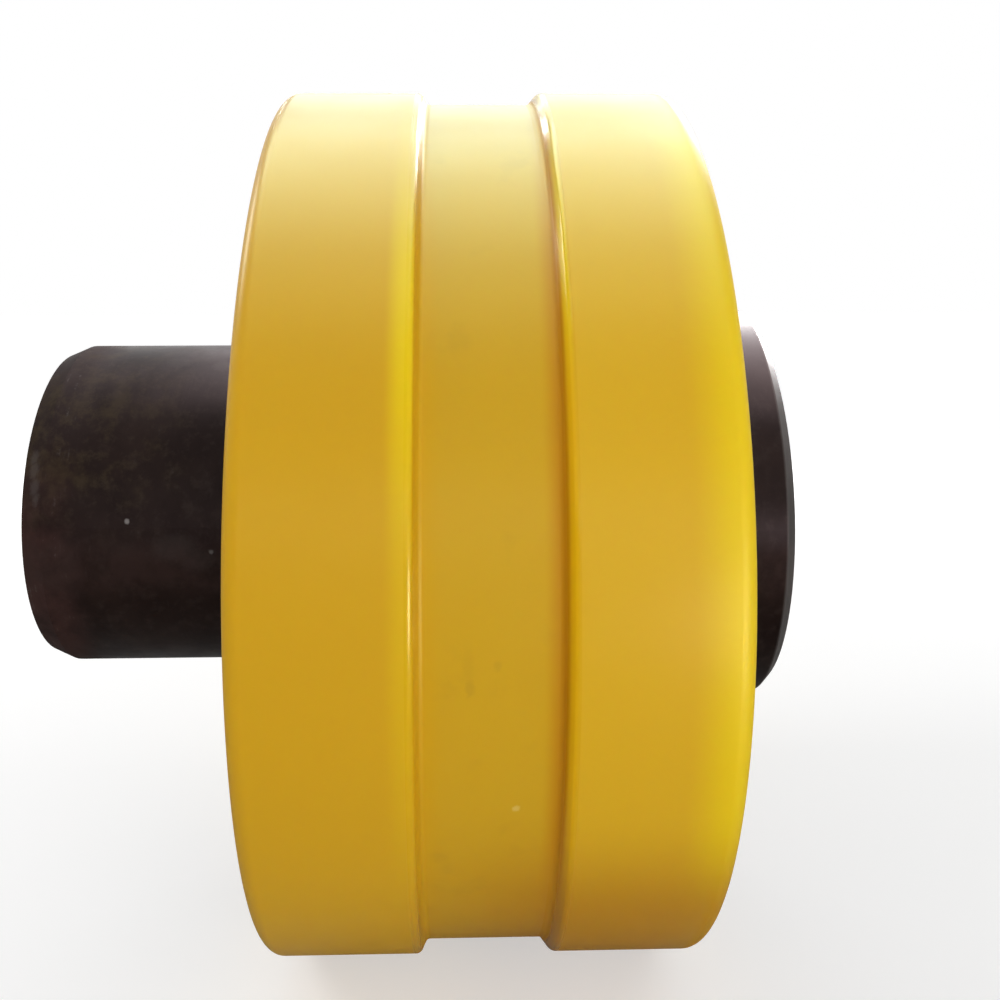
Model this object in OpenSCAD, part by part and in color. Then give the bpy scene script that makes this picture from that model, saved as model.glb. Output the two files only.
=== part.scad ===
// Friction wheel: a grooved polyurethane tyre cast on a welded steel wheel
// centre, with a stepped, keyed hub that stands out further on one side.
// The wheel turns about Y. The origin is on its axis, midway along the tyre,
// the hub's long barrel points to -Y and its short boss to +Y.

/* [Tyre] */
// Outer diameter over the two running lands
tyre_d = 300; // [270:1:340]
// Width over the two sides
tyre_w = 133.5; // [115:0.5:160]
// Radial thickness of the casting, from the rim to the lands
tyre_t = 20; // [14:1:26]
// Rounding of the two outer shoulders
shoulder_r = 5; // [2:0.5:8]
// How far each side of the casting stands beyond the rim
tyre_lip = 2; // [0.5:0.5:4]
// Rounding of the casting's inner edge on each side
lip_r = 1; // [0.4:0.1:1.6]

/* [Groove] */
// Width of the turned groove between the lands
groove_w = 41; // [32:0.5:54]
// Depth of the groove floor below the lands
groove_depth = 4; // [3:0.5:7]
// Lean of the wall on the barrel's side from the radial direction, in degrees
groove_lean_left = 26; // [20:1:50]
// Lean of the wall on the boss's side
groove_lean_right = 38; // [20:1:50]
// How far the groove lies towards the boss from the middle of the tyre
groove_shift = 0.7; // [-4:0.1:4]
// Fillet where a wall meets the floor
groove_fillet_r = 1.5; // [0.6:0.1:2]
// Rounding where a wall meets its land
groove_edge_r = 2; // [0.5:0.1:2.2]

/* [Rim] */
// Radial thickness of the rim between the two web seats
rim_t = 12; // [8:0.5:16]
// Depth of the turned seat that takes each web plate
seat_depth = 2; // [1:0.5:4]
// Bevel on the rim's inner edges
rim_bevel = 1.5; // [0.5:0.5:3]

/* [Web plates] */
// Thickness of each plate
web_t = 12; // [8:1:18]
// How far each plate lies inside the end of the rim
web_recess = 13; // [10:1:24]

/* [Hub] */
// Diameter of the long barrel
barrel_d = 115; // [96:1:126]
// How far the barrel stands out of the tyre's side
barrel_out = 83.75; // [50:0.25:120]
// Length of the lead on the barrel's end
barrel_lead = 7; // [2:0.5:10]
// Depth of that lead, measured along the radius
barrel_lead_depth = 3; // [1:0.5:4]
// Diameter of the short boss
boss_d = 142; // [130:1:160]
// How far the boss stands out of the tyre's side
boss_out = 33.75; // [18:0.25:50]
// Bevel on the boss's outer edge
boss_bevel = 3; // [1:0.5:6]
// Shaft bore, through the whole hub
bore_d = 60; // [40:1:70]
// Bevel at both mouths of the bore
bore_bevel = 2; // [1:0.5:4]

/* [Keyway] */
// Width of the keyway
key_w = 18; // [10:1:22]
// Depth of the keyway above the crown of the bore
key_depth = 4.4; // [3:0.1:6]

/* [Welds] */
// Leg of the two fillet welds between hub and web plates
hub_weld_leg = 8; // [4:0.5:10]
// Leg of the two fillet welds between rim and web plates
rim_weld_leg = 7; // [4:0.5:9]

/* [Hidden] */
$fn = 96;
cast_yellow = [0.82, 0.64, 0.13];
dark_steel = [0.16, 0.12, 0.11];
weld_grey = [0.24, 0.21, 0.20];

tyre_r = tyre_d / 2;
side = tyre_w / 2;
rim_r = tyre_r - tyre_t;
rim_end = side - tyre_lip;
rim_bore_r = rim_r - rim_t;
seat_r = rim_bore_r + seat_depth;
web_face = rim_end - web_recess;
web_back = web_face - web_t;
barrel_r = barrel_d / 2;
boss_r = boss_d / 2;
bore_r = bore_d / 2;
barrel_end = -side - barrel_out;
boss_end = side + boss_out;

floor_r = tyre_r - groove_depth;
land_half = groove_w / 2;

// Turns a section drawn as (radius, axial place) about the wheel's axis
module turned() {
    rotate([-90, 0, 0])
    rotate_extrude()
    children();
}

// A square corner less its inscribed quarter round, for taking off an edge
module corner_waste(r) {
    difference() {
        square(r + 1);
        circle(r);
    }
}

// Section of the groove as the tool cuts it, for one half of its width: the
// floor corner, the wall's direction and the two tangent lengths come first
module groove_half(lean) {
    floor_half = land_half - groove_depth * tan(lean);
    wall_r = cos(lean);
    wall_y = sin(lean);
    half_corner = tan(45 + lean / 2);
    fillet_run = groove_fillet_r / half_corner;
    edge_run = groove_edge_r / half_corner;
    difference() {
        union() {
            polygon([
                [floor_r, 0],
                [floor_r, floor_half - fillet_run],
                [floor_r + fillet_run * wall_r, floor_half + fillet_run * wall_y],
                [tyre_r - edge_run * wall_r, land_half - edge_run * wall_y],
                [tyre_r, land_half + edge_run],
                [tyre_r + 1, land_half + edge_run],
                [tyre_r + 1, 0]
            ]);
            translate([floor_r + groove_fillet_r, floor_half - fillet_run])
            circle(groove_fillet_r);
        }
        translate([tyre_r - groove_edge_r, land_half + edge_run])
        circle(groove_edge_r);
    }
}

module tyre_section() {
    difference() {
        translate([rim_r, -side])
        square([tyre_t, tyre_w]);
        for (s = [0, 1])
            mirror([0, s]) {
                translate([tyre_r - shoulder_r, side - shoulder_r])
                corner_waste(shoulder_r);
                translate([rim_r + lip_r, side - lip_r])
                mirror([1, 0])
                corner_waste(lip_r);
            }
        translate([0, groove_shift]) {
            groove_half(groove_lean_right);
            mirror([0, 1])
            groove_half(groove_lean_left);
        }
    }
}

module polyurethane_tyre() {
    color(cast_yellow)
    turned()
    tyre_section();
}

module rim() {
    color(dark_steel)
    turned()
    polygon([
        [rim_r, -rim_end],
        [rim_r, rim_end],
        [seat_r + rim_bevel, rim_end],
        [seat_r, rim_end - rim_bevel],
        [seat_r, web_back],
        [rim_bore_r, web_back],
        [rim_bore_r, -web_back],
        [seat_r, -web_back],
        [seat_r, -rim_end + rim_bevel],
        [seat_r + rim_bevel, -rim_end]
    ]);
}

// A round plate with a turned bore, lying between two places on the axis
module web_plate(bore, from, to) {
    color(dark_steel)
    turned()
    translate([bore, from])
    square([seat_r - bore, to - from]);
}

module web_plate_left() {
    web_plate(barrel_r, -web_face, -web_back);
}

module web_plate_right() {
    web_plate(boss_r, web_back, web_face);
}

// Hub turned from one bar: the step in its outside seats the left web plate
module hub() {
    color(dark_steel)
    difference() {
        turned()
        polygon([
            [bore_r + bore_bevel, barrel_end],
            [barrel_r - barrel_lead_depth, barrel_end],
            [barrel_r, barrel_end + barrel_lead],
            [barrel_r, -web_back],
            [boss_r, -web_back],
            [boss_r, boss_end - boss_bevel],
            [boss_r - boss_bevel, boss_end],
            [bore_r + bore_bevel, boss_end],
            [bore_r, boss_end - bore_bevel],
            [bore_r, barrel_end + bore_bevel]
        ]);
        translate([-key_w / 2, barrel_end - 1, 0])
        cube([key_w, boss_end - barrel_end + 2, bore_r + key_depth]);
    }
}

// Section of a slightly crowned fillet weld that fills the corner at 0,0
module fillet_section(leg) {
    intersection() {
        square(leg + 1);
        translate([-leg / 2, -leg / 2])
        circle(leg * sqrt(2.5));
    }
}

module hub_weld(r) {
    color(weld_grey)
    turned()
    translate([r, web_face])
    fillet_section(hub_weld_leg);
}

module rim_weld() {
    color(weld_grey)
    turned()
    translate([seat_r, web_face])
    mirror([1, 0])
    fillet_section(rim_weld_leg);
}

module hub_weld_left() {
    mirror([0, 1, 0])
    hub_weld(barrel_r);
}

module hub_weld_right() {
    hub_weld(boss_r);
}

module rim_weld_left() {
    mirror([0, 1, 0])
    rim_weld();
}

module rim_weld_right() {
    rim_weld();
}

polyurethane_tyre();
rim();
web_plate_left();
web_plate_right();
hub();
hub_weld_left();
hub_weld_right();
rim_weld_left();
rim_weld_right();
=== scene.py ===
# %% [markdown]
# # A friction wheel in Blender
# The wheel is a yellow polyurethane tyre, cast on a welded steel centre with a long stepped
# hub. Nearly all of it is turned work, so almost every shape here is a section spun about
# one axis, and the looks follow the same idea: marks and stains run round that axis. The
# exact solids come first, as a fixed frame, and the pieces below are fitted to them.

import math

import bmesh
import bpy
from mathutils import Matrix, Vector


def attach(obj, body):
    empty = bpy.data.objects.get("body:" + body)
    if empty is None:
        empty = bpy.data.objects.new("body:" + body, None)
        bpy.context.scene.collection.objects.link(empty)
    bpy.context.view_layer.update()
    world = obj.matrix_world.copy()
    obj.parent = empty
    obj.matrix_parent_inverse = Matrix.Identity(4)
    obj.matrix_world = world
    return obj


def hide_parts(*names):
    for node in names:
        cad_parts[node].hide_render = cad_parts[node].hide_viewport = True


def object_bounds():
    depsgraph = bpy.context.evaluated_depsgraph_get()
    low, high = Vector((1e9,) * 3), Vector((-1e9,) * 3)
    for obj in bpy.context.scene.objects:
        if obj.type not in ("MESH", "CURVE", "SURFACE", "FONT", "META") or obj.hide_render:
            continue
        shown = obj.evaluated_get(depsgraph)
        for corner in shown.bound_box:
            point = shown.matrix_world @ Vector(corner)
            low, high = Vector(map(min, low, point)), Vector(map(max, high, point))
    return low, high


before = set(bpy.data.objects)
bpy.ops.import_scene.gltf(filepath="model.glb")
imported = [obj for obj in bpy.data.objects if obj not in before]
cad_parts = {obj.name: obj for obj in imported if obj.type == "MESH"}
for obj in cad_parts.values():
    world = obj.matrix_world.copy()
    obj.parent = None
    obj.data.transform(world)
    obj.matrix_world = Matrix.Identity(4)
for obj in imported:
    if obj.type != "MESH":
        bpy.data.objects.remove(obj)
cad_low, cad_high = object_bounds()
MM = 0.001
print("solids:", sorted(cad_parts))
print("box in mm:", [round(v / MM, 1) for v in (cad_high - cad_low)])

# %% [markdown]
# ## Turning a section
# In turning, a tool follows a section while the work spins. The spin operator does the same:
# it sweeps a flat outline round an axis and joins the last copy to the first. The outline
# starts as a face with square corners, the corners that are round on the real wheel are
# bevelled as vertices, and the long edges get a few cuts so that shading stays even.

# %% Helpers for turned pieces
BODY = "root"
SAME_CORNER = 0.01  # mm
SAME_VERTEX = 1e-6  # metres


def tangent_run(radius, corner_degrees):
    """How far from a corner an arc of this radius meets the two edges."""
    return radius / math.tan(math.radians(corner_degrees) / 2)


def flat_section(corners):
    """A face in the XY plane: x is the radius and y the place along the axis, in mm."""
    bm = bmesh.new()
    bm.faces.new([bm.verts.new((r * MM, y * MM, 0)) for r, y in corners])
    bm.verts.ensure_lookup_table()
    return bm


def round_corners(bm, corners, run, segments):
    """Bevels the section's vertices that lie at these (radius, place) corners."""
    chosen = [
        v for v in bm.verts
        if any(math.hypot(v.co.x / MM - r, v.co.y / MM - y) < SAME_CORNER for r, y in corners)
    ]
    bmesh.ops.bevel(
        bm, geom=chosen, affect="VERTICES", offset=run * MM, offset_type="OFFSET",
        segments=segments, profile=0.5, material=-1, clamp_overlap=False,
    )


def spin_section(bm, steps, longest=None):
    """Cuts long edges, drops the flat face and spins the outline once round the Y axis."""
    if longest:
        for edge in bm.edges[:]:
            cuts = int(edge.calc_length() / (longest * MM))
            if cuts:
                bmesh.ops.subdivide_edges(bm, edges=[edge], cuts=cuts)
    bmesh.ops.delete(bm, geom=bm.faces[:], context="FACES_ONLY")
    bmesh.ops.spin(
        bm, geom=bm.verts[:] + bm.edges[:], cent=(0, 0, 0), axis=(0, 1, 0), dvec=(0, 0, 0),
        angle=math.tau, steps=steps, use_merge=True, use_duplicate=False,
    )
    bmesh.ops.remove_doubles(bm, verts=bm.verts[:], dist=SAME_VERTEX)
    bmesh.ops.recalc_face_normals(bm, faces=bm.faces[:])


def add_piece(bm, name, node):
    """Makes the mesh an object that stands for a solid and moves with the wheel."""
    mesh = bpy.data.meshes.new(name)
    bm.to_mesh(mesh)
    bm.free()
    mesh.polygons.foreach_set("use_smooth", [True] * len(mesh.polygons))
    piece = bpy.data.objects.new(name, mesh)
    bpy.context.scene.collection.objects.link(piece)
    even = piece.modifiers.new("even_normals", "WEIGHTED_NORMAL")
    even.mode = "FACE_AREA"
    even.weight = 60
    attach(piece, BODY)
    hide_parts(node)
    print(name, "faces:", len(mesh.polygons))
    return piece


print("helpers ready")

# %% [markdown]
# ## The polyurethane tyre
# The tyre is one casting: two running lands, a shallow groove between them and soft outer
# shoulders. It could be a cylinder with a boolean cut, but booleans leave ragged faces where
# light runs along an edge. A spun section keeps every edge a clean ring. All sizes are in mm.

# %% Tyre section
TYRE_R, TYRE_SIDE, RIM_R = 150.0, 66.75, 130.0
GROOVE_HALF, GROOVE_DEPTH, GROOVE_SHIFT = 20.5, 4.0, 0.7
LEAN_LEFT, LEAN_RIGHT = 26.0, 38.0
SHOULDER_R, LIP_R, EDGE_R, FILLET_R = 5.0, 1.0, 2.0, 1.5
SPIN_STEPS, LONGEST_EDGE = 288, 9
FLOOR_R = TYRE_R - GROOVE_DEPTH
lips = [(RIM_R, -TYRE_SIDE), (RIM_R, TYRE_SIDE)]
shoulders = [(TYRE_R, -TYRE_SIDE), (TYRE_R, TYRE_SIDE)]
land_edges, floor_edges, wall_corners = [], [], []
for side, lean in ((-1, LEAN_LEFT), (1, LEAN_RIGHT)):
    floor_half = GROOVE_HALF - GROOVE_DEPTH * math.tan(math.radians(lean))
    land_edges.append((TYRE_R, GROOVE_SHIFT + side * GROOVE_HALF))
    floor_edges.append((FLOOR_R, GROOVE_SHIFT + side * floor_half))
    wall_corners.append(90 + lean)
section = flat_section([
    lips[0], shoulders[0], land_edges[0], floor_edges[0],
    floor_edges[1], land_edges[1], shoulders[1], lips[1],
])
# At a square corner an arc's tangent run is its own radius
round_corners(section, shoulders, SHOULDER_R, 10)
round_corners(section, lips, LIP_R, 4)
for land_edge, floor_edge, corner in zip(land_edges, floor_edges, wall_corners):
    round_corners(section, [land_edge], tangent_run(EDGE_R, corner), 8)
    round_corners(section, [floor_edge], tangent_run(FILLET_R, corner), 6)
spin_section(section, SPIN_STEPS, LONGEST_EDGE)
tyre = add_piece(section, "tyre_casting", "polyurethane_tyre")

# %% [markdown]
# ## The weld beads
# A hand-laid fillet weld is a row of small overlapping pools. Each pool freezes as a curved
# ripple. A bump map would show that only in a render, so the ripples are in the mesh: the
# fillet is spun with many steps, and its face is then pushed in and out along the seam.

# %% Weld beads with ripples
PLATE_FACE = 51.75
BARREL_R, BOSS_R, SEAT_R = 57.5, 71.0, 120.0
HUB_LEG, RIM_LEG = 8.0, 7.0
HUB_PITCH, RIM_PITCH = 3.2, 3.4
STEPS_PER_RIPPLE, FACE_CUTS = 6, 7
ON_STEEL = 0.02  # share of the leg within which a vertex stays on the cylinder or the plate
CROWN, RIPPLE, UNEVEN = 0.075, 0.07, 0.03  # lifts, as shares of the leg
BOW, BLUNT = 0.55, 0.6  # how far a ripple bends back at the toes, and how round its crest is


def weld_bead(name, node, root_r, leg, outward, facing, pitch, seed):
    """A rippled fillet in the corner between a cylinder and a plate.

    outward is 1 where the bead lies outside the cylinder, and facing is the side of the
    wheel that it looks to.
    """
    face_y = facing * PLATE_FACE
    steps = int(math.tau * root_r / pitch) * STEPS_PER_RIPPLE
    bm = flat_section([
        (root_r, face_y), (root_r + outward * leg, face_y), (root_r, face_y + facing * leg),
    ])
    toes = [v for v in bm.verts if abs(v.co.x / MM - root_r) + abs(v.co.y / MM - face_y) > 1]
    face_edge = [e for e in bm.edges if all(v in toes for v in e.verts)]
    bmesh.ops.subdivide_edges(bm, edges=face_edge, cuts=FACE_CUTS)
    spin_section(bm, steps)
    for v in bm.verts:
        r = math.hypot(v.co.x, v.co.z) / MM
        a = math.atan2(v.co.z, v.co.x)
        u = outward * (r - root_r) / leg
        w = facing * (v.co.y / MM - face_y) / leg
        if u < ON_STEEL or w < ON_STEEL:
            continue
        across = u - w
        crown = 1 - across * across
        along = a * root_r / pitch
        wander = 0.35 * math.sin(3 * a + seed) + 0.25 * math.sin(11 * a + 2.1 * seed)
        phase = along + wander + BOW * across * across
        ripple = abs(math.sin(math.pi * phase)) ** BLUNT
        lift = crown * (CROWN + RIPPLE * ripple + UNEVEN * math.sin(7 * a + seed)) * leg
        push = lift / math.sqrt(2)
        grow = 1 + outward * push / r
        v.co.x *= grow
        v.co.z *= grow
        v.co.y += facing * push * MM
    bmesh.ops.recalc_face_normals(bm, faces=bm.faces[:])
    return add_piece(bm, name, node)


beads = [
    weld_bead("bead_barrel", "hub_weld_left", BARREL_R, HUB_LEG, 1, -1, HUB_PITCH, 0.4),
    weld_bead("bead_boss", "hub_weld_right", BOSS_R, HUB_LEG, 1, 1, HUB_PITCH, 1.7),
    weld_bead("bead_rim_left", "rim_weld_left", SEAT_R, RIM_LEG, -1, -1, RIM_PITCH, 2.6),
    weld_bead("bead_rim_right", "rim_weld_right", SEAT_R, RIM_LEG, -1, 1, RIM_PITCH, 3.9),
]

# %% [markdown]
# ## Shared effects as node groups
# Several finishes need the same things: fine lines that run round the axis, patches of
# stain, and bands at a known place along the axis. Each is a node group, built once, with
# named inputs, and every material sets its own values. The groups read Object coordinates,
# which are the wheel's own, in metres, because every object sits at the origin.

# %% Node helpers
def fill_inputs(tree, node, values):
    """Links each socket in values to an input of the node, and sets each plain value on it."""
    for key, value in values.items():
        if isinstance(value, bpy.types.NodeSocket):
            tree.links.new(value, node.inputs[key])
        else:
            node.inputs[key].default_value = value


def make_node(tree, kind, settings, inputs):
    node = tree.nodes.new(kind)
    for key, value in settings.items():
        setattr(node, key, value)
    fill_inputs(tree, node, inputs)
    return node


def calc(tree, operation, a, b=0.0):
    return make_node(tree, "ShaderNodeMath", {"operation": operation}, {0: a, 1: b}).outputs[0]


def times(tree, a, b):
    return calc(tree, "MULTIPLY", a, b)


def plus(tree, a, b):
    return calc(tree, "ADD", a, b)


def larger(tree, a, b):
    return calc(tree, "MAXIMUM", a, b)


def vector_calc(tree, operation, a, b):
    return make_node(tree, "ShaderNodeVectorMath", {"operation": operation},
                     {0: a, 1: b}).outputs[0]


def vector_length(tree, vector):
    return make_node(tree, "ShaderNodeVectorMath", {"operation": "LENGTH"},
                     {0: vector}).outputs["Value"]


def join_xyz(tree, x, y, z=0.0):
    return make_node(tree, "ShaderNodeCombineXYZ", {}, {0: x, 1: y, 2: z}).outputs[0]


def blend_colour(tree, mask, first, second):
    return make_node(tree, "ShaderNodeMix", {"data_type": "RGBA"},
                     {"Factor": mask, 6: first, 7: second}).outputs[2]


def ramp(tree, value, low, high, to_low=0.0, to_high=1.0):
    """A smooth step from to_low, where the value is low, to to_high, where it is high."""
    return make_node(
        tree, "ShaderNodeMapRange", {"interpolation_type": "SMOOTHSTEP", "clamp": True},
        {"Value": value, "From Min": low, "From Max": high, "To Min": to_low, "To Max": to_high},
    ).outputs[0]


def window(tree, value, rise, fall):
    """A mask between two soft edges, each given from where it is 0 to where it is 1."""
    return times(tree, ramp(tree, value, *rise), ramp(tree, value, *fall))


def position(tree):
    return tree.nodes.new("ShaderNodeTexCoord").outputs["Object"]


def position_parts(tree):
    """Three sockets: the place to the front, along the wheel's axis and up."""
    return list(make_node(tree, "ShaderNodeSeparateXYZ", {}, {0: position(tree)}).outputs)


def axis_place(tree):
    return position_parts(tree)[1]


def axis_radius(tree):
    front, _, up = position_parts(tree)
    return calc(tree, "SQRT", plus(tree, times(tree, front, front), times(tree, up, up)))


def new_group(name, ins, out):
    """An empty group: its tree, the sockets of its inputs and the socket of its output."""
    tree = bpy.data.node_groups.new(name, "ShaderNodeTree")
    for label, default in ins.items():
        socket = tree.interface.new_socket(label, in_out="INPUT", socket_type="NodeSocketFloat")
        socket.default_value = default
    tree.interface.new_socket(out, in_out="OUTPUT", socket_type="NodeSocketFloat")
    start = tree.nodes.new("NodeGroupInput")
    end = tree.nodes.new("NodeGroupOutput")
    return tree, start.outputs, end.inputs[out]


def use_group(tree, group, **values):
    node = tree.nodes.new("ShaderNodeGroup")
    node.node_tree = group
    fill_inputs(tree, node, {key.replace("_", " "): value for key, value in values.items()})
    return node.outputs[0]


print("node helpers ready")

# %% Groups: bands along the axis and round it
def band_group(name, measure):
    """A mask that is 1 within Half Width of Centre and fades out over Softness."""
    group, ins, out = new_group(
        name, {"Centre": 0.0, "Half Width": 0.002, "Softness": 0.002}, "Mask")
    away = calc(group, "ABSOLUTE", calc(group, "SUBTRACT", measure(group), ins["Centre"]))
    outer = plus(group, ins["Half Width"], ins["Softness"])
    group.links.new(ramp(group, away, outer, ins["Half Width"]), out)
    return group


axial_band = band_group("axial_band", axis_place)
radial_band = band_group("radial_band", axis_radius)
print("bands:", axial_band.name, radial_band.name)

# %% Group: turning lines
turning_lines, ins, out = new_group("turning_lines", {"Spacing": 0.0006}, "Height")
across = join_xyz(
    turning_lines,
    calc(turning_lines, "DIVIDE", axis_place(turning_lines), ins["Spacing"]),
    calc(turning_lines, "DIVIDE", axis_radius(turning_lines), ins["Spacing"]))
noise = make_node(turning_lines, "ShaderNodeTexNoise", {},
                  {"Vector": across, "Scale": 1.0, "Detail": 3.0, "Roughness": 0.6})
turning_lines.links.new(noise.outputs[0], out)
print("lines:", turning_lines.name)

# %% Group: patches
patches, ins, out = new_group(
    "patches", {"Size": 0.02, "Threshold": 0.5, "Softness": 0.1, "Roughness": 0.6}, "Mask")
noise = make_node(patches, "ShaderNodeTexNoise", {}, {
    "Vector": position(patches), "Scale": calc(patches, "DIVIDE", 1.0, ins["Size"]),
    "Detail": 5.0, "Roughness": ins["Roughness"]})
patch_start = calc(patches, "SUBTRACT", ins["Threshold"], ins["Softness"])
patch_full = plus(patches, ins["Threshold"], ins["Softness"])
patches.links.new(ramp(patches, noise.outputs[0], patch_start, patch_full), out)
print("stains:", patches.name)

# %% Group: specks
specks, ins, out = new_group("specks", {"Spacing": 0.02, "Size": 0.0008, "Share": 0.3}, "Mask")
cells = make_node(specks, "ShaderNodeTexVoronoi", {"feature": "F1"}, {
    "Vector": position(specks), "Scale": calc(specks, "DIVIDE", 1.0, ins["Spacing"])})
reach = times(specks, cells.outputs["Distance"], ins["Spacing"])
spot = ramp(specks, reach, ins["Size"], times(specks, ins["Size"], 0.5))
pick = make_node(specks, "ShaderNodeSeparateColor", {}, {0: cells.outputs["Color"]})
kept = calc(specks, "LESS_THAN", pick.outputs[0], ins["Share"])
specks.links.new(times(specks, spot, kept), out)
print("dots:", specks.name)

# %% Group: single mark
single_mark, ins, out = new_group(
    "single_mark", {"X": 0.0, "Y": 0.0, "Z": 0.0, "Size": 0.001, "Tall": 1.0}, "Mask")
where = position(single_mark)
centre = join_xyz(single_mark, ins["X"], ins["Y"], ins["Z"])
shrink = join_xyz(single_mark, 1.0, 1.0, calc(single_mark, "DIVIDE", 1.0, ins["Tall"]))
offset = vector_calc(single_mark, "SUBTRACT", where, centre)
reach = vector_length(single_mark, vector_calc(single_mark, "MULTIPLY", offset, shrink))
ragged = make_node(single_mark, "ShaderNodeTexNoise", {},
                   {"Vector": where, "Scale": 900.0, "Detail": 2.0}).outputs[0]
reach = times(single_mark, reach, plus(single_mark, ragged, 0.5))
core = times(single_mark, ins["Size"], 0.3)
single_mark.links.new(ramp(single_mark, reach, ins["Size"], core), out)
print("groups:", [group.name for group in bpy.data.node_groups])

# %% Material helpers
def start_material(name):
    material = bpy.data.materials.new(name)
    material.use_nodes = True
    tree = material.node_tree
    return material, tree, tree.nodes["Principled BSDF"]


def bump_from(tree, height, distance, strength):
    return make_node(tree, "ShaderNodeBump", {}, {
        "Height": height, "Distance": distance, "Strength": strength}).outputs[0]


print("material helpers ready")

# %% [markdown]
# ## Cast polyurethane
# Polyurethane is a clear amber rubber with pigment in it. Light soaks in and comes out again
# close by, and subsurface scattering does that soft part. The purer yellow glow of its thin
# edges towards the boss and along the groove, and the orange of the groove's far wall, are
# painted light in the colour. So are a lighter right-hand land and painted shade in the groove's
# far corner and on the lower tread. The glow follows the shape, so it is a band at a known place
# on the axis. The colour starts with the lands and the floor, and each step lays one mask over it.

# %% Polyurethane: lands and floor
LAND = (0.585, 0.325, 0.0110, 1)
DEEP = (0.570, 0.315, 0.0100, 1)
BOSS_LAND_PAINTED_LIGHT = (0.620, 0.360, 0.0130, 1)
FLOOR = (0.550, 0.318, 0.0120, 1)
pu, tree, shader = start_material("cast_polyurethane")
_, along, up = position_parts(tree)
cloudy = use_group(tree, patches, Size=0.07, Threshold=0.5, Softness=0.2, Roughness=0.5)
colour = blend_colour(tree, cloudy, LAND, DEEP)
# Painted light: the right-hand land is a lighter copy of the land colour, as if lit more from that
# side.
boss_land_painted_light = use_group(tree, axial_band, Centre=0.0460, Half_Width=0.0225, Softness=0.0040)
colour = blend_colour(tree, boss_land_painted_light, colour, BOSS_LAND_PAINTED_LIGHT)
in_groove = use_group(tree, axial_band, Centre=0.0002, Half_Width=0.0165, Softness=0.0015)
colour = blend_colour(tree, in_groove, colour, FLOOR)
print("lands and floor laid")

# %% Polyurethane: painted glow along the edges
# Painted light: where light comes through the thin edges, a brighter yellow is laid as colour.
PAINTED_GLOW = (0.730, 0.510, 0.0050, 1)
left_land = use_group(tree, axial_band, Centre=-0.0450, Half_Width=0.0252, Softness=0.0008)
inner_painted_glow = use_group(tree, axial_band, Centre=-0.0210, Half_Width=0.0010, Softness=0.0055)
inner_painted_glow = times(tree, inner_painted_glow, left_land)
# The painted glow is stronger higher up, as if light from above came through the edge, and fades
# at the very top.
glow_from_above = plus(tree, ramp(tree, up, -0.12, 0.0, 0.0, 0.35), ramp(tree, up, 0.0, 0.065, 0.0, 0.65))
glow_from_above = times(tree, glow_from_above, ramp(tree, up, 0.075, 0.120, 1.0, 0.2))
colour = blend_colour(tree, times(tree, inner_painted_glow, glow_from_above), colour, PAINTED_GLOW)
# Painted glow along the right-hand shoulder.
outer_painted_glow = use_group(tree, axial_band, Centre=0.0640, Half_Width=0.0010, Softness=0.0140)
colour = blend_colour(tree, times(tree, outer_painted_glow, 0.9), colour, PAINTED_GLOW)
print("edges glow")

# %% Polyurethane: groove walls, painted corner shade and painted shade on the lower tread
WALL = (0.570, 0.310, 0.0050, 1)
CORNER_SHADE = (0.450, 0.178, 0.0020, 1)
FAR_WALL = (0.680, 0.385, 0.0040, 1)
LOWER_SHADE = (0.465, 0.215, 0.0080, 1)
near_wall = window(tree, along, (-0.0115, -0.0180), (-0.0200, -0.0192))
colour = blend_colour(tree, times(tree, near_wall, 0.7), colour, WALL)
# Painted shade: the corner between the groove floor and the far wall is darkened to amber, less so
# towards the top.
corner = window(tree, along, (0.0130, 0.0186), (0.0207, 0.0192))
corner = times(tree, corner, ramp(tree, up, 0.085, 0.125, 0.9, 0.35))
colour = blend_colour(tree, corner, colour, CORNER_SHADE)
# The far wall is painted: orange low down, as light coming through it, and painted glow higher up.
far_wall = window(tree, along, (0.0191, 0.0205), (0.0222, 0.0210))
far_wall_painted_tone = blend_colour(tree, ramp(tree, up, 0.045, 0.085), FAR_WALL, PAINTED_GLOW)
colour = blend_colour(tree, far_wall, colour, far_wall_painted_tone)
# Painted shade: the lower tread is darker towards the bottom, more so on the right-hand side.
painted_lower_shade = times(tree, ramp(tree, up, -0.058, -0.098, 0.0, 0.9), ramp(tree, along, -0.030, 0.025))
colour = blend_colour(tree, painted_lower_shade, colour, LOWER_SHADE)
print("groove walls laid")

# %% Polyurethane: stains and dots
GRIME = (0.300, 0.180, 0.0200, 1)
PALE = (0.800, 0.640, 0.2500, 1)
STAINS = (  # x, y, z, size, height as a multiple of the size, depth
    (0.1441, -0.0052, -0.0237, 0.0017, 2.0, 0.22),
    (0.1449, -0.0057, -0.0185, 0.0020, 4.0, 0.10),
    (0.1449, 0.0018, -0.0180, 0.0015, 1.3, 0.16),
)
smear = use_group(tree, patches, Size=0.016, Threshold=0.66, Softness=0.07, Roughness=0.45)
smear = times(tree, times(tree, smear, in_groove), 0.14)
for x, y, z, size, tall, depth in STAINS:
    spot = use_group(tree, single_mark, X=x, Y=y, Z=z, Size=size, Tall=tall)
    smear = larger(tree, smear, times(tree, spot, depth))
colour = blend_colour(tree, smear, colour, GRIME)
dot = use_group(tree, single_mark, X=0.1337, Y=0.0068, Z=-0.0587, Size=0.0014)
dots = use_group(tree, specks, Spacing=0.030, Size=0.0011, Share=0.08)
dots = times(tree, larger(tree, dots, dot), 0.30)
colour = blend_colour(tree, dots, colour, PALE)
print("stains:", len(STAINS))

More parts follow.
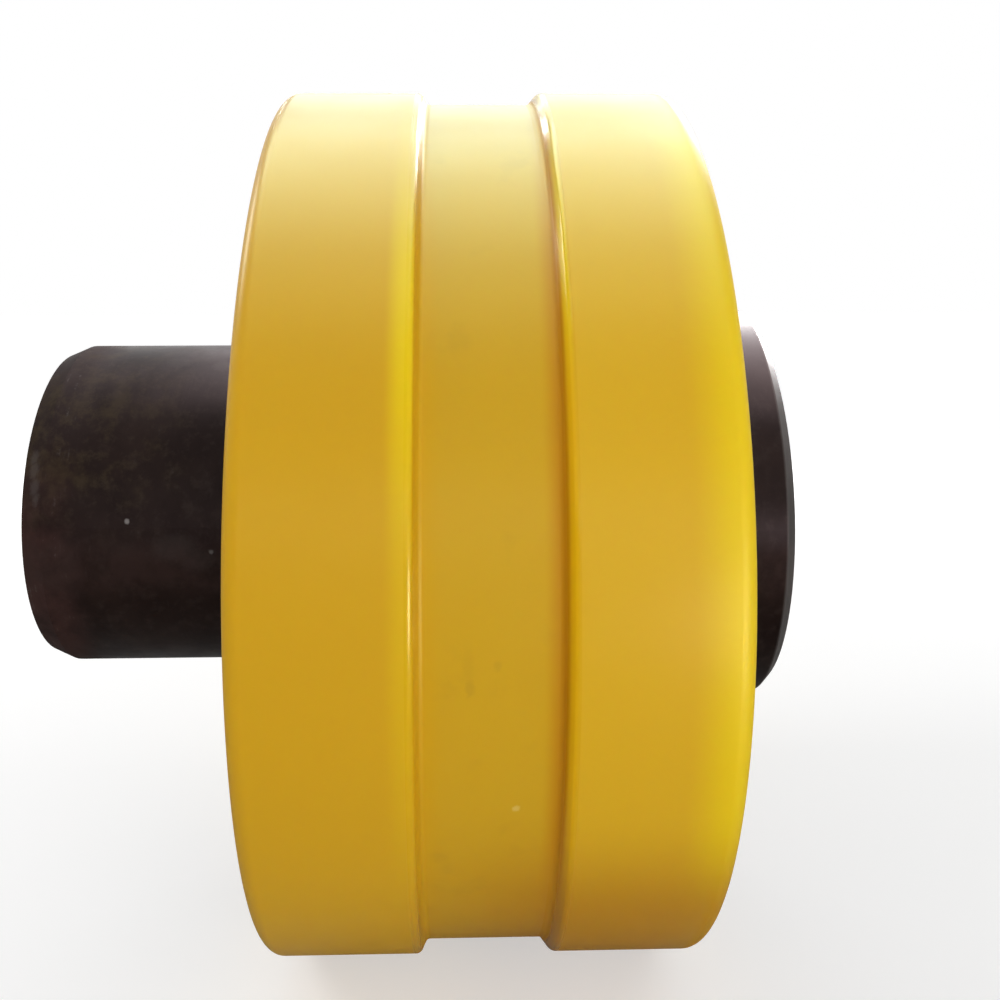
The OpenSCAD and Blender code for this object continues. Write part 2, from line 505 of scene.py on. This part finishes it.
# %% Polyurethane: finish
haze = use_group(tree, patches, Size=0.035, Threshold=0.5, Softness=0.25, Roughness=0.6)
rough = plus(tree, times(tree, haze, 0.06), 0.33)
shoulder = use_group(tree, axial_band, Centre=0.0650, Half_Width=0.0020, Softness=0.0040)
rough = plus(tree, rough, times(tree, shoulder, 0.14))
near_edge = use_group(tree, axial_band, Centre=-0.0204, Half_Width=0.0010, Softness=0.0004)
far_edge = use_group(tree, axial_band, Centre=0.0206, Half_Width=0.0014, Softness=0.0006)
polish = larger(tree, times(tree, near_edge, 0.12), times(tree, far_edge, 0.18))
rough = calc(tree, "SUBTRACT", rough, polish)
near_fillet = use_group(tree, axial_band, Centre=-0.0176, Half_Width=0.0008, Softness=0.0005)
far_fillet = use_group(tree, axial_band, Centre=0.0178, Half_Width=0.0010, Softness=0.0005)
rough = plus(tree, rough, times(tree, larger(tree, near_fillet, far_fillet), 0.10))
fine = use_group(tree, turning_lines, Spacing=0.0009)
fill_inputs(tree, shader, {
    "Base Color": colour,
    "Roughness": rough,
    "Normal": bump_from(tree, fine, 0.00002, 0.4),
    "Subsurface Weight": 0.25,
    "Subsurface Radius": (1.0, 0.55, 0.08),
    "Subsurface Scale": 0.006,
    "Specular IOR Level": 0.22,
    "Specular Tint": (1.0, 1.0, 0.52, 1),
})
tyre.data.materials.append(pu)
print("tyre wears", pu.name)

# %% [markdown]
# ## Blackened steel
# The hub is turned steel that has gone brown-black with oil and scale. Its finish is uneven:
# olive stains towards the barrel's end, a redder band at the very end, a rubbed stripe below
# the middle, pale scuffs that run round it, and two nicks down to bright metal. Two pale
# patches on its top by the tyre are painted sheen, laid with the scuffs. The bore and the
# boss's bevel were cut last and shine. All of these are masks over one dark base, mixed in the
# order they happened.

# %% Hub: base and stains
DARK = (0.0085, 0.0040, 0.0031, 1)
BROWN = (0.0165, 0.0090, 0.0070, 1)
MOTTLE = (0.0360, 0.0250, 0.0210, 1)
OLIVE = (0.0400, 0.0280, 0.0110, 1)
RUSSET = (0.0420, 0.0190, 0.0160, 1)
RUBBED = (0.0300, 0.0165, 0.0140, 1)
hub_steel, tree, shader = start_material("blackened_hub_steel")
up = position_parts(tree)[2]
clouds = use_group(tree, patches, Size=0.030, Threshold=0.5, Softness=0.16)
colour = blend_colour(tree, clouds, DARK, BROWN)
mottle = use_group(tree, patches, Size=0.0055, Threshold=0.58, Softness=0.12, Roughness=0.75)
colour = blend_colour(tree, times(tree, mottle, 0.35), colour, MOTTLE)
barrel_end = use_group(tree, axial_band, Centre=-0.1330, Half_Width=0.0060, Softness=0.0420)
olive = use_group(tree, patches, Size=0.011, Threshold=0.54, Softness=0.10, Roughness=0.7)
olive = times(tree, times(tree, olive, barrel_end), ramp(tree, up, -0.01, 0.02))
colour = blend_colour(tree, times(tree, olive, 0.5), colour, OLIVE)
end_band = use_group(tree, axial_band, Centre=-0.1470, Half_Width=0.0060, Softness=0.0140)
red = use_group(tree, patches, Size=0.018, Threshold=0.46, Softness=0.16)
red = times(tree, times(tree, red, end_band), ramp(tree, up, 0.03, -0.01))
colour = blend_colour(tree, times(tree, red, 0.8), colour, RUSSET)
uneven = use_group(tree, patches, Size=0.012, Threshold=0.42, Softness=0.2, Roughness=0.7)
rubbed = times(tree, window(tree, up, (-0.026, -0.016), (-0.001, -0.010)), uneven)
colour = blend_colour(tree, times(tree, rubbed, 0.8), colour, RUBBED)
print("hub stains laid")

# %% Hub: scuffs, painted sheen patches, nicks and cut faces
SCUFF_AND_SHEEN = (0.1100, 0.0950, 0.0880, 1)
BRIGHT = (0.4600, 0.4400, 0.4200, 1)
# The first two smudges are scuffs. The last two, on the top by the tyre, are painted sheen: pale
# patches where light falls on the barrel.
SMUDGES_AND_SHEEN = (  # x, y, z, size, depth
    (0.0571, -0.1000, -0.0066, 0.0110, 0.10), (0.0565, -0.0930, -0.0107, 0.0090, 0.08),
    (0.0237, -0.1063, 0.0524, 0.0060, 0.16), (0.0265, -0.0908, 0.0510, 0.0050, 0.22),
)
RUBS = (  # x, y, z, size
    (0.0514, -0.1474, 0.0222, 0.0022), (0.0529, -0.1469, 0.0185, 0.0026),
    (0.0545, -0.1460, 0.0128, 0.0026), (0.0553, -0.1451, 0.0090, 0.0020),
)
lines = use_group(tree, turning_lines, Spacing=0.0011)
worn = use_group(tree, patches, Size=0.009, Threshold=0.64, Softness=0.08, Roughness=0.75)
scuffs_and_sheen = times(tree, worn, ramp(tree, lines, 0.45, 0.75))
scuffs_and_sheen = times(tree, scuffs_and_sheen, ramp(tree, end_band, 0.0, 0.8, 0.15, 0.7))
for x, y, z, size, depth in SMUDGES_AND_SHEEN:
    smudge_and_sheen = use_group(tree, single_mark, X=x, Y=y, Z=z, Size=size, Tall=0.6)
    scuffs_and_sheen = larger(tree, scuffs_and_sheen, times(tree, smudge_and_sheen, depth))
for x, y, z, size in RUBS:
    rub = use_group(tree, single_mark, X=x, Y=y, Z=z, Size=size, Tall=1.8)
    scuffs_and_sheen = larger(tree, scuffs_and_sheen, times(tree, rub, 0.25))
colour = blend_colour(tree, scuffs_and_sheen, colour, SCUFF_AND_SHEEN)
nick = use_group(tree, single_mark, X=0.0575, Y=-0.1154, Z=0.0022, Size=0.0012)
faint_nick = use_group(tree, single_mark, X=0.0569, Y=-0.0883, Z=-0.0081, Size=0.0010)
nicks = larger(tree, nick, times(tree, faint_nick, 0.5))
bevel = times(
    tree, use_group(tree, axial_band, Centre=0.0990, Half_Width=0.0015, Softness=0.0008),
    use_group(tree, radial_band, Centre=0.0695, Half_Width=0.0015, Softness=0.0008))
bore = use_group(tree, radial_band, Centre=0.0290, Half_Width=0.0030, Softness=0.0004)
cut = larger(tree, times(tree, nicks, 0.35), times(tree, bevel, 0.12))
cut = larger(tree, cut, times(tree, bore, 0.9))
colour = blend_colour(tree, cut, colour, BRIGHT)
print("marks on the hub:", len(SMUDGES_AND_SHEEN) + len(RUBS) + 2)

# %% Hub: finish
haze = use_group(tree, patches, Size=0.014, Threshold=0.5, Softness=0.25, Roughness=0.7)
rough = plus(tree, times(tree, haze, 0.14), 0.28)
rough = plus(tree, rough, times(tree, end_band, 0.30))
height = plus(tree, times(tree, lines, 0.5), times(tree, haze, 0.5))
fill_inputs(tree, shader, {
    "Base Color": colour,
    "Metallic": times(tree, cut, 0.9),
    "Roughness": rough,
    "Normal": bump_from(tree, height, 0.00006, 0.7),
    "Specular IOR Level": 0.11,
    "Specular Tint": (1.0, 0.85, 0.85, 1),
})
print("hub finish:", hub_steel.name)

# %% [markdown]
# ## Plates, rim and beads
# The wheel centre between hub and tyre is plain fabricated steel. It has the grey-brown skin
# of rolled plate, thin rust where water stood, and a heat-blue edge beside the beads. The
# beads are a duller grey with soot between their ripples.

# %% Plate and rim material
SKIN = (0.0330, 0.0260, 0.0240, 1)
DARK_SKIN = (0.0180, 0.0140, 0.0130, 1)
RUST = (0.0850, 0.0380, 0.0200, 1)
TEMPER = (0.0240, 0.0270, 0.0400, 1)
plate_steel, tree, shader = start_material("rolled_plate_steel")
clouds = use_group(tree, patches, Size=0.045, Threshold=0.5, Softness=0.14)
colour = blend_colour(tree, clouds, SKIN, DARK_SKIN)
hub_heat = use_group(tree, radial_band, Centre=0.0710, Half_Width=0.0040, Softness=0.0120)
rim_heat = use_group(tree, radial_band, Centre=0.1130, Half_Width=0.0020, Softness=0.0100)
heat = larger(tree, hub_heat, rim_heat)
colour = blend_colour(tree, times(tree, heat, 0.6), colour, TEMPER)
rust = use_group(tree, patches, Size=0.012, Threshold=0.63, Softness=0.07, Roughness=0.75)
colour = blend_colour(tree, times(tree, rust, 0.6), colour, RUST)
pits = use_group(tree, patches, Size=0.006, Threshold=0.5, Softness=0.3, Roughness=0.7)
fill_inputs(tree, shader, {
    "Base Color": colour,
    "Metallic": 0.25,
    "Roughness": plus(tree, times(tree, pits, 0.20), 0.42),
    "Normal": bump_from(tree, pits, 0.00012, 0.6),
    "Specular IOR Level": 0.35,
})
print("plate finish:", plate_steel.name)

# %% Bead material
ASH = (0.1050, 0.0930, 0.0860, 1)
SOOT = (0.0260, 0.0210, 0.0190, 1)
bead_steel, tree, shader = start_material("weld_bead_steel")
spots = use_group(tree, patches, Size=0.005, Threshold=0.5, Softness=0.2, Roughness=0.7)
colour = blend_colour(tree, spots, ASH, SOOT)
rust = use_group(tree, patches, Size=0.010, Threshold=0.62, Softness=0.08, Roughness=0.7)
colour = blend_colour(tree, times(tree, rust, 0.5), colour, RUST)
fill_inputs(tree, shader, {
    "Base Color": colour,
    "Metallic": 0.6,
    "Roughness": plus(tree, times(tree, spots, 0.2), 0.35),
})
print("bead finish:", bead_steel.name)

# %% Dress the solids
for bead in beads:
    bead.data.materials.append(bead_steel)
for name, material in (("hub", hub_steel), ("rim", plate_steel),
                       ("web_plate_left", plate_steel), ("web_plate_right", plate_steel)):
    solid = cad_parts[name]
    solid.data.materials.clear()
    solid.data.materials.append(material)
    print(name, "wears", material.name)

# %% [markdown]
# ## Camera
# The camera stands level, a little above the axis and about three wheel radii away, so the
# tread bulges towards it. A level camera keeps the wheel's sides upright, and a lens shift
# brings the wheel to the middle of the picture.

# %% Camera
LEVEL = math.radians(90)
ROLL, TURN = 0.0032, -0.0266
camera_data = bpy.data.cameras.new("camera")
camera = bpy.data.objects.new("camera", camera_data)
bpy.context.scene.collection.objects.link(camera)
camera_data.sensor_width = 36.0
camera_data.lens = 39.946
camera_data.shift_x = 0.0181
camera_data.shift_y = -0.1917
camera.location = (0.4214, -0.0093, 0.0712)
camera.rotation_euler = (LEVEL, ROLL, LEVEL + TURN)
bpy.context.scene.camera = camera
print("lens in mm:", camera_data.lens)

# %% [markdown]
# ## Light, floor and background
# A broad fill from the front holds the middle of the tread at an even tone, another lights
# the far side, and three smaller panels lift the edges. These are kept out of reflections.
# All the other soft boxes do the opposite: they cast no light and only show as sheen and
# glints on glossy faces. Light linking gives the tyre and the steel a set each, because warm
# rubber and dark steel take a different tone. Only one glint falls on both.

# %% Soft boxes
WHITE = (1, 1, 1)
WARM = (0.80, 1.0, 0.85)
COOL = (1.0, 0.87, 0.90)
AXIS = Vector((0, 1, 0))


def soft_box(name, place, target, around, along, radiance, tint=WHITE, only=None,
             diffuse=True, glossy=True):
    """A rectangle lamp of a given brightness, its second side kept in line with the axis."""
    data = bpy.data.lights.new(name, "AREA")
    data.shape = "RECTANGLE"
    data.size, data.size_y = around, along
    data.energy = radiance * math.pi * around * along
    data.color = tint
    lamp = bpy.data.objects.new(name, data)
    bpy.context.scene.collection.objects.link(lamp)
    lamp.location = place
    back = (Vector(place) - Vector(target)).normalized()
    level = (AXIS - AXIS.dot(back) * back).normalized()
    lamp.rotation_euler = Matrix((level.cross(back), level, back)).transposed().to_euler()
    lamp.visible_camera = False
    lamp.visible_diffuse = diffuse
    lamp.visible_glossy = glossy
    if only:
        lamp.light_linking.receiver_collection = only
    print(name, "watts:", round(data.energy, 1))


on_tyre = bpy.data.collections.new("sheen_on_tyre")
on_tyre.objects.link(tyre)
on_steel = bpy.data.collections.new("sheen_on_steel")
on_steel.objects.link(tyre)
on_steel.collection_objects[0].light_linking.link_state = "EXCLUDE"
print("sets:", on_tyre.name, on_steel.name)

# %% Fills
for row in (  # name, place, target, size round the axis, size along it, brightness
    ("front_fill", (1.2, 0.25, 0.10), (0, 0, 0.01), 0.3, 1.6, 6.2),
    ("right_panel", (0.45, 0.95, 0.0), (0, 0.02, 0), 0.28, 0.25, 2.0),
    ("left_fill", (0.0, -0.95, 0.7), (0.08, 0, 0.1), 0.5, 0.5, 5.0),
    ("right_fill", (-0.1, 0.95, 0.7), (0.08, 0, 0.1), 0.5, 0.5, 1.6),
    ("back_fill", (-1.2, 0.0, 0.25), (0, 0, 0), 0.4, 1.4, 4.5),
):
    soft_box(*row, glossy=False)

# %% Sheens and glints
for row in (  # the same, then the tint and the set that it shines on
    ("front_sheen", (0.5, 0.05, 1.0), (0.12, 0.05, 0.08), 0.5, 1.3, 4.2, WARM, on_tyre),
    ("top_sheen", (-0.145, 0.02, 1.07), (0.1, 0.02, 0.11), 0.9, 1.35, 9.6, WARM, on_tyre),
    ("back_sheen", (-0.65, 0.24, 0.66), (0.08, 0.24, 0.12), 0.45, 0.92, 3.6, WARM, on_tyre),
    ("right_glint", (-0.62, 0.43, 0.60), (0.1, -0.02, 0.12), 0.45, 0.26, 25.0, WHITE, None),
    ("left_glint", (-0.20, -0.76, 0.60), (0.12, 0.02, 0.08), 0.16, 0.30, 26.0, WHITE, on_tyre),
    ("rear_glint", (-0.735, -0.345, 0.59), (0.06, 0.02, 0.135), 0.05, 0.05, 30.0, WHITE, on_tyre),
    ("low_glint", (0.374, 0.235, -0.105), (0.15, -0.02, -0.006), 0.08, 0.14, 44.0, WHITE, on_tyre),
    ("steel_top", (-0.145, 0.2, 1.07), (0.05, 0, 0.05), 0.9, 1.0, 12.0, COOL, on_steel),
    ("steel_back", (-0.65, 0.2, 0.66), (0.05, 0, 0.05), 0.45, 1.0, 5.0, COOL, on_steel),
    ("barrel_low", (0.62, -0.25, -0.17), (0.06, -0.1, 0), 0.25, 0.35, 2.0, COOL, on_steel),
    ("boss_low", (0.64, 0.24, -0.19), (0.07, 0.085, 0), 0.25, 0.30, 18.0, COOL, on_steel),
    ("boss_top", (0.45, 0.34, 0.93), (0.06, 0.085, 0.04), 0.40, 0.25, 9.0, COOL, on_steel),
    ("bevel_glint", (-0.76, 0.66, 0.26), (0.03, 0.099, 0.06), 0.2, 0.35, 20.0, WHITE, on_steel),
):
    soft_box(*row, diffuse=False)

# %% [markdown]
# The sky is white to the camera and in reflections, but sends less light than that to the
# wheel. The floor glows a little for the camera, more so far away, until it meets the sky
# without a line. Its own tone stays below white, so it keeps the wheel's shadow. In
# reflections it is dark, because a white floor would wash out the lower tread.

# %% World
SKY_LIGHT, SKY_SEEN = 0.38, 1.0


def seen_mask(tree, path):
    """1 for rays from the camera, from a glossy face or through glass."""
    seen = larger(tree, path["Is Camera Ray"], path["Is Glossy Ray"])
    return larger(tree, seen, path["Is Transmission Ray"])


world = bpy.data.worlds.new("white_room")
bpy.context.scene.world = world
world.use_nodes = True
tree = world.node_tree
tree.nodes.clear()
path = tree.nodes.new("ShaderNodeLightPath").outputs
strength = ramp(tree, seen_mask(tree, path), 0.0, 1.0, SKY_LIGHT, SKY_SEEN)
sky = make_node(tree, "ShaderNodeBackground", {},
                {"Color": (1, 1, 1, 1), "Strength": strength})
make_node(tree, "ShaderNodeOutputWorld", {}, {"Surface": sky.outputs[0]})
print("world:", world.name)

# %% Floor
FLOOR_HALF = 40
GLOW_FROM, GLOW_TO = 0.35, 1.4  # distances in metres
GLOW_NEAR, GLOW_FAR = 0.46, 0.76
GLOW_MIRRORED = 0.12
TONE, TONE_MIRRORED = 0.65, 0.2
floor_material, tree, shader = start_material("pale_floor")
path = tree.nodes.new("ShaderNodeLightPath").outputs
reach = vector_length(tree, position(tree))
glow = ramp(tree, reach, GLOW_FROM, GLOW_TO, GLOW_NEAR, GLOW_FAR)
glow = times(tree, glow, ramp(tree, path["Is Glossy Ray"], 0.0, 1.0, 1.0, GLOW_MIRRORED))
fill_inputs(tree, shader, {
    "Base Color": ramp(tree, path["Is Glossy Ray"], 0.0, 1.0, TONE, TONE_MIRRORED),
    "Roughness": 1.0,
    "Specular IOR Level": 0.0,
    "Emission Color": (1, 1, 1, 1),
    "Emission Strength": times(tree, seen_mask(tree, path), glow),
})
bm = bmesh.new()
bmesh.ops.create_grid(bm, x_segments=1, y_segments=1, size=FLOOR_HALF)
bmesh.ops.translate(bm, verts=bm.verts[:], vec=(0, 0, cad_low.z))
mesh = bpy.data.meshes.new("floor")
bm.to_mesh(mesh)
bm.free()
floor = bpy.data.objects.new("floor", mesh)
bpy.context.scene.collection.objects.link(floor)
floor.data.materials.append(floor_material)
bpy.context.scene.view_settings.view_transform = "Standard"
print("floor at", round(cad_low.z / MM, 1), "mm")
